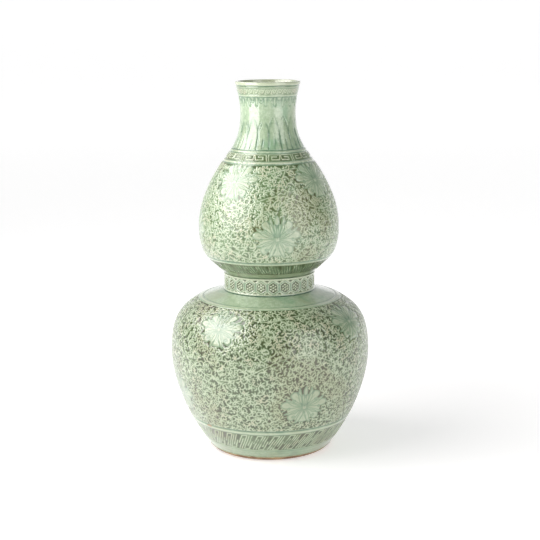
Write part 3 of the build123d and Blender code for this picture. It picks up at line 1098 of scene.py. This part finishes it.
def celadon():
    """Green glaze, cream where it runs thin on the ridges and dark where it pools in the carving."""
    tree = Finish("celadon_glaze")
    kinds = ("crest", "hollow", "engraved", "pool", "thin", "brown")
    crest, hollow, engraved, pool, thin, brown = [tree.kept(name) for name in kinds]
    drift = tree.noise(24.0)
    for spot, reach in browner_places:
        away = tree.vector("DISTANCE", tree.place, spot, out="Value")
        drift = tree.plus(drift, tree.eased(away, 0.0, reach, 0.22, 0.0))
    drift = tree.eased(drift, 0.53, 0.68)
    speck = tree.eased(tree.noise(300.0, 2.0), 0.35, 0.68)
    warm = tree.eased(tree.noise(75.0), 0.50, 0.64)
    cloud = tree.eased(tree.noise(38.0, 4.0, 0.65), 0.52, 0.66)
    named = {"Vector": tree.place, "Scale": 420.0}
    crackle = tree.node("ShaderNodeTexVoronoi", feature="DISTANCE_TO_EDGE", named=named, out="Distance")
    crackle = tree.eased(crackle, 0.02, 0.12, 1.0, 0.0)
    hollow = tree.times(hollow, tree.eased(tree.noise(75.0), 0.40, 0.56, 0.84, 1.0))
    run = tree.times(pool, tree.eased(tree.noise(90.0), 0.30, 0.62, 0.60, 1.0))
    raised = tree.minus(1.0, tree.highest(pool, tree.highest(hollow, engraved)))

    green = tree.laid("glaze", "pale glaze", speck)
    green = tree.laid(green, "drifted glaze", drift, 0.6)
    green = tree.laid(green, "crackle", crackle, 0.16)
    green = tree.laid(green, "cloud", cloud, 0.6)
    # Painted shade: darker, browner glaze where a band is to read darker; on the lip it gives a browner
    # cream.
    green = tree.laid(green, tree.laid("fired glaze", "brown glaze", warm), brown)
    cream = tree.laid("cream", "warm cream", warm)
    cream = tree.laid(cream, "drifted cream", drift, 0.7)
    middle = tree.laid("hollow", "drifted hollow", drift)
    # The same painted shade in the hollows.
    middle = tree.laid(middle, "fired hollow", brown)
    deep = tree.laid("deep", "drifted deep", drift)
    colour = tree.laid(green, cream, tree.eased(crest, 0.55, 1.0), 0.85)
    colour = tree.laid(colour, middle, tree.eased(hollow, 0.08, 0.66))
    colour = tree.laid(colour, deep, tree.eased(hollow, 0.62, 0.92))
    colour = tree.laid(colour, "engraved line", engraved, 0.85)
    colour = tree.laid(colour, "pool", run)
    colour = tree.laid(colour, "thin glaze", thin, raised)
    spot = tree.vector("SUBTRACT", tree.place, kiln_speck)
    spot = tree.vector("LENGTH", tree.vector("MULTIPLY", spot, kiln_speck_shape), out="Value")
    ragged = tree.times(tree.minus(tree.noise(350.0), 0.4), 8.0 * mm)
    spot = tree.eased(tree.plus(spot, ragged), 4.0 * mm, 6.5 * mm, 0.75, 0.0)
    colour = tree.laid(colour, "kiln speck", spot)

    rough = tree.node("ShaderNodeMapRange", tree.noise(55.0), 0.3, 0.7, 0.05, 0.12)
    waves = tree.plus(tree.noise(60.0, 2.0), tree.times(tree.noise(420.0), 0.25))
    settings = {
        "Base Color": colour,
        "Roughness": 0.28,
        "IOR": 1.6,
        "Coat Weight": 1.0,
        "Coat Roughness": rough,
        "Coat IOR": 1.6,
        "Normal": tree.bump(0.06, 0.6 * mm, waves),
    }
    return tree.coated(settings)


def bare_clay():
    """Unglazed foot, flashed orange brown, with a thin ragged edge of glaze above it."""
    tree = Finish("bare_foot")
    grain = tree.noise(900.0)
    colour = tree.laid("clay", "pale clay", tree.eased(tree.noise(60.0, 4.0), 0.35, 0.7))
    colour = tree.laid(colour, "clay grain", grain, 0.5)
    _, _, level = tree.split(tree.place)
    edge = tree.plus(level, tree.times(tree.noise(120.0), 3.0 * mm))
    glazed = tree.eased(edge, 6.2 * mm, 6.9 * mm)
    colour = tree.laid(colour, "glaze on clay", glazed)
    rough = tree.node("ShaderNodeMapRange", glazed, 0.0, 1.0, 0.75, 0.2)
    bump = tree.bump(0.35, 0.3 * mm, grain)
    return tree.coated({"Base Color": colour, "Roughness": rough, "Normal": bump})


glaze = celadon()
clay = bare_clay()

# The wall, ring by ring

# Meshes of the rings: height of a row, and number of columns
foot_mesh = (0.66 * mm, 900)
lower_mesh = (0.66 * mm, 1030)
plain_mesh = (0.6 * mm, 720)
under_mesh = (0.54 * mm, 720)
upper_mesh = (0.54 * mm, 900)
neck_mesh = (0.45 * mm, 600)
mouth_mesh = (0.5 * mm, 420)
collar_rows, collar_columns = 40, 720


def band_lengths(low, high, step):
    """Distances along the outline of a band's rows, closer together on each turned line."""
    start, end = along(low), along(high)
    margin, closest = 0.1 * mm, 0.22 * mm
    line_rows = (-1.7, -1.1, -0.6, 0.0, 0.6, 1.1, 1.7)
    count = max(2, ceil((end - start) / step))
    lengths = list(np.linspace(start, end, count + 1))
    for level, half_width, *_ in turned_lines:
        lengths += [along(level) + half_width * k for k in line_rows]
    kept = [start]
    for length in sorted(x for x in lengths if start + margin < x < end - margin):
        if length - kept[-1] > closest:
            kept.append(length)
    return [*kept, end]


def ring_outline(name, outer, rows, inner):
    """Closed section of a ring: its outer points going up, with their surface rows, then its inner ones."""
    points = [*outer, *inner, outer[0]]
    mesh = bpy.data.meshes.new(name)
    mesh.from_pydata([(r, 0.0, z) for r, z in points], [(i, i + 1) for i in range(len(points) - 1)], [])
    # Inner rows are uncarved, with paler thin glaze painted on: painted light against the shade inside the
    # vase.
    uncarved_painted_paler = ((0.0, 0.0), 0.0, 0.0, 0.6, 0.0, 0.0)
    rows = [*rows, *[uncarved_painted_paler] * len(inner), rows[0]]
    table = np.array([row[1:] for row in rows])
    for i, attribute in enumerate(("carve", "pool", "thin", "brown", "corner")):
        mesh.attributes.new(attribute, "FLOAT", "POINT").data.foreach_set("value", table[:, i])
    leans = np.array([(row[0][0], 0.0, row[0][1]) for row in rows]).ravel()
    mesh.attributes.new("lean", "FLOAT_VECTOR", "POINT").data.foreach_set("vector", leans)
    return held(name, mesh)


def with_corners(rows):
    """Rows with a sharp corner at each end."""
    return [(*rows[0][:5], 1.0), *rows[1:-1], (*rows[-1][:5], 1.0)]


def inner_points(low, high):
    """Inner face of a ring between two levels, from the top down."""
    bends = [level for level, _ in inner_face if low + mm < level < high - mm]
    levels = [high, *sorted([*bends, (low + high) / 2], reverse=True), low]
    return [(inner_radius(level), level) for level in levels]


def fitted(name, node, outer, rows, inner, columns, ornament):
    """Ring of wall on the vase in place of its plain solid, or of part of it."""
    settings = {
        "Outline": ring_outline(name + "_outline", outer, rows, inner),
        "Columns": columns,
        "Crest half width": 0.2 * mm,
        "Foot half width": 1.05 * mm,
        "Depth": 0.4 * mm,
        "Shade": 1.0,
        "Drop half width": 0.65 * mm,
        "Line half width": 0.48 * mm,
        "Line depth": 0.32 * mm,
        "Waver": 0.3 * mm,
        "Petal thinness": 0.3,
        "Material": glaze,
        **ornament,
    }
    piece = in_scene(name, grown(name, carved_band, settings))
    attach(piece, "root")
    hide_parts(node)


def wall_rows(low, high, step):
    """Outer points of a ring of wall, going up, and their surface rows."""
    outer = []
    rows = []
    for length in band_lengths(low, high, step):
        depth, *finish = surface_row(length)
        lean = outward(length)
        outer.append(at_length(length) - lean * depth)
        rows.append((lean, *finish, 0.0))
    return outer, rows


def stacked(low, rings):
    """Rings of wall with their turned lines and carving, each on top of the last one."""
    for name, node, high, step, columns, ornament in rings:
        outer, rows = wall_rows(low, high, step)
        fitted(name, node, outer, with_corners(rows), inner_points(low, high), columns, ornament)
        low = high


def collar():
    """Straight band at the waist, with a border at each edge that stands a little proud."""
    border, height, ease = 0.6 * mm, 1.8 * mm, 0.4 * mm
    carve_ease, pool_top, pool_ease, thin = 0.3 * mm, collar_foot_level + 1.1 * mm, 0.6 * mm, 0.6
    outer = []
    rows = []
    for level in np.linspace(collar_foot_level, collar_top_level, collar_rows):
        edge = min(level - collar_foot_level, collar_top_level - level)
        proud = border * float(np.clip((height - edge) / ease + 0.5, 0.0, 1.0))
        carve = float(np.clip((edge - height) / carve_ease, 0.0, 1.0))
        outer.append((collar_radius + proud, level))
        pool = float(np.clip((pool_top - level) / pool_ease, 0.0, 1.0))
        rows.append(((1.0, 0.0), carve, pool, thin, 0.0, 0.0))
    ornament = {
        "Raised": collar_seeds,
        "Plates": collar_field,
        "Engraved": collar_edges,
        "Crest half width": 0.5 * mm,
        "Foot half width": 1.02 * mm,
        "Depth": 0.7 * mm,
        "Line half width": 0.42 * mm,
        "Waver": 0.15 * mm,
    }
    inner = inner_points(collar_foot_level, collar_top_level)
    fitted("waist_band", "waist_collar", outer, with_corners(rows), inner, collar_columns, ornament)


def mouth():
    """Flared mouth with a rounded lip, glazed inside as well."""
    row_height, columns = mouth_mesh
    outer, rows = wall_rows(mouth_root_level, lip_level, row_height)
    ease, wall = 0.9 * mm, 3.6 * mm
    thin, brown = 0.55, 0.3
    lip = [(lip_radius - 0.15 * mm, lip_level + 0.1 * mm), (lip_radius, lip_level + 0.5 * mm)]
    for middle, first in ((lip_radius - ease, 0.0), (lip_radius - wall + ease, 0.5)):
        for turn in np.linspace(first, first + 0.5, 6) * pi:
            lip.append((middle + ease * cos(turn), rim_level - ease + ease * sin(turn)))
    outer += lip
    rows += [((0.0, 0.0), 0.0, 0.0, thin, brown, 0.0)] * len(lip)
    rows[0] = (*rows[0][:5], 1.0)
    levels = np.linspace(rim_level - 3.0 * mm, mouth_root_level, 8)
    inner = [(inner_radius(level), level) for level in levels]
    ornament = {"Raised": mouth_curls, "Depth": 0.2 * mm, "Shade": 0.45, "Foot half width": 0.95 * mm}
    fitted("mouth_band", "mouth", outer, rows, inner, columns, ornament)


# Carving of the narrow bands
fret_cut = {"Crest half width": 0.15 * mm, "Foot half width": 0.9 * mm, "Depth": 0.4 * mm, "Shade": 0.80}
foot_carving = {**fret_cut, "Raised": foot_fret, "Crest half width": 0.3 * mm, "Shade": 0.88}
hatch_carving = {**fret_cut, "Raised": hatch, "Engraved": hatch_cuts, "Shade": 0.9, "Waver": 0.4 * mm}
fret_carving = {**fret_cut, "Raised": neck_fret}
neck_carving = {
    "Engraved": together("neck_engraving", leaf_lines, pendant_edges),
    "Pooled": together("neck_pools", leaf_drops, pendant_dots),
    "Line half width": 0.60 * mm,
    "Line depth": 0.40 * mm,
    "Drop half width": 1.2 * mm,
    "Waver": 0.5 * mm,
}

# Levels at which one ring of wall ends and the next begins within a section
foot_band_top = 41.0 * mm
lower_bowl_break, lower_shoulder_break, lower_scroll_top = 76.0 * mm, 140.0 * mm, 168.2 * mm
under_band_top, upper_shoulder_break, neck_fret_top = 216.0 * mm, 280.0 * mm, 329.0 * mm

# Rings of wall from the foot up: piece, the solid that it replaces, top level, mesh and carving
lower_rings = [
    ("foot_band", "lower_bowl", foot_band_top, *foot_mesh, foot_carving),
    ("lower_scroll_foot", "lower_bowl", lower_bowl_break, *lower_mesh, lower_carving),
    ("lower_scroll_belly", "lower_bowl", lower_belly_level, *lower_mesh, lower_carving),
    ("lower_scroll_shoulder", "lower_shoulder", lower_shoulder_break, *lower_mesh, lower_carving),
    ("lower_scroll_crown", "lower_shoulder", lower_scroll_top, *lower_mesh, lower_carving),
    ("lower_plain_shoulder", "lower_shoulder", collar_foot_level, *plain_mesh, {}),
]
upper_rings = [
    ("upper_under_band", "upper_bowl", under_band_top, *under_mesh, hatch_carving),
    ("upper_scroll_bowl", "upper_bowl", upper_belly_level, *upper_mesh, upper_carving),
    ("upper_scroll_belly", "upper_shoulder", upper_shoulder_break, *upper_mesh, upper_carving),
    ("upper_scroll_crown", "upper_shoulder", neck_root_level, *upper_mesh, upper_carving),
    ("neck_foot", "neck", neck_fret_top, *neck_mesh, fret_carving),
    ("neck_wall", "neck", mouth_root_level, *neck_mesh, neck_carving),
]
stacked(foot_level, lower_rings)
collar()
stacked(collar_top_level, upper_rings)
mouth()

# The foot ring and the base keep the solids' own shape, in real finishes
for node, finish in (("foot_ring", clay), ("base_disc", glaze)):
    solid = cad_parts[node]
    solid.data.materials.clear()
    solid.data.materials.append(finish)

for holder in pattern_objects:
    bpy.data.objects.remove(holder)
for family in (sprays, leaves):
    bpy.data.collections.remove(family)

# The stage: pale floor that sweeps up behind, soft light from the left, and the camera


def pale_sweep():
    """Wide pale floor under the vase that curves up into a back wall. It glows, lighting the vase too, less
    near the vase (a painted shade round its foot) and less up the wall.
    """
    half, bend, back, top = 9.0, 1.5, 4.5, 9.0
    line = [(-half, 0.0), (back, 0.0)]
    line += [(back + bend * sin(a), bend * (1 - cos(a))) for a in np.linspace(0.1, pi / 2, 12)]
    line.append((back + bend, top))
    points = [(x, y, z) for y, z in line for x in (-half, half)]
    faces = [(2 * i, 2 * i + 1, 2 * i + 3, 2 * i + 2) for i in range(len(line) - 1)]
    mesh = bpy.data.meshes.new("pale_sweep")
    mesh.from_pydata(points, [], faces)
    mesh.shade_smooth()
    sweep = in_scene("pale_sweep", mesh)
    floor = Finish("pale_floor")
    away = floor.vector("LENGTH", floor.place, out="Value")
    # Painted shade: the floor glows less within about 0.8 m of the vase's axis. The back wall glows less
    # above 0.7 m.
    flat = floor.eased(away, 0.2, 0.8, 0.46, 0.70)
    dim = floor.eased(floor.split(floor.place)[2], 0.7, 1.6, 1.0, 0.25)
    glow = floor.times(flat, dim)
    grey = (0.80, 0.80, 0.80, 1)
    named = {"Base Color": grey, "Roughness": 0.9, "Emission Color": white, "Emission Strength": glow}
    mesh.materials.append(floor.coated(named))


def softbox(name, azimuth, distance, level, width, height, power, aim):
    """Rectangular soft light, at an azimuth from the front with the right positive."""
    light = bpy.data.lights.new(name, "AREA")
    light.shape = "RECTANGLE"
    light.size = width
    light.size_y = height
    light.energy = power
    light.color = lamp_colour
    lamp = in_scene(name, light)
    angle = radians(azimuth)
    place = Vector((distance * sin(angle), -distance * cos(angle), level))
    lamp.location = place
    lamp.rotation_mode = "QUATERNION"
    lamp.rotation_quaternion = (Vector((0, 0, aim)) - place).to_track_quat("-Z", "Y")


def studio_world():
    """Faint light from all round. The camera sees plain white in its place."""
    world = bpy.data.worlds.new("studio")
    world.use_nodes = True
    world.node_tree.nodes.clear()
    tree = Tree(world.node_tree)
    faint = tree.node("ShaderNodeBackground", white, 0.22)
    plain = tree.node("ShaderNodeBackground", white, 1.0)
    seen = tree.node("ShaderNodeLightPath", out="Is Camera Ray")
    tree.node("ShaderNodeOutputWorld", tree.node("ShaderNodeMixShader", seen, faint, plain))
    scene.world = world


# Lights: azimuth, distance, level, width, height, power, and the level on the axis that they aim at
lamp_colour = (1.0, 0.975, 0.975)
white = (1, 1, 1, 1)
pale_sweep()
softbox("left_box", -58, 0.58, 0.54, 0.52, 0.64, 4.4, 0.44)
softbox("upper_left_box", -97, 0.54, 0.80, 0.42, 0.75, 3.9, 0.22)
softbox("right_card", 44, 1.1, 0.62, 0.8, 1.1, 5.0, 0.38)
studio_world()
scene.view_settings.view_transform = "Standard"

# Camera: 88 mm lens, 1.41 m from the axis, looking 11 degrees down, with a slight roll
camera_place = (0.75 * mm, -1.4086, 0.4713)
look_down, camera_roll = 11.07, -0.5
camera_data = bpy.data.cameras.new("camera")
camera_data.lens = 87.86
camera_data.sensor_width = 36.0
camera_data.clip_end = 100.0
camera = in_scene("camera", camera_data)
tilt = Matrix.Rotation(radians(90 - look_down), 4, "X")
roll = Matrix.Rotation(radians(camera_roll), 4, "Z")
camera.matrix_world = Matrix.Translation(camera_place) @ tilt @ roll
scene.camera = camera
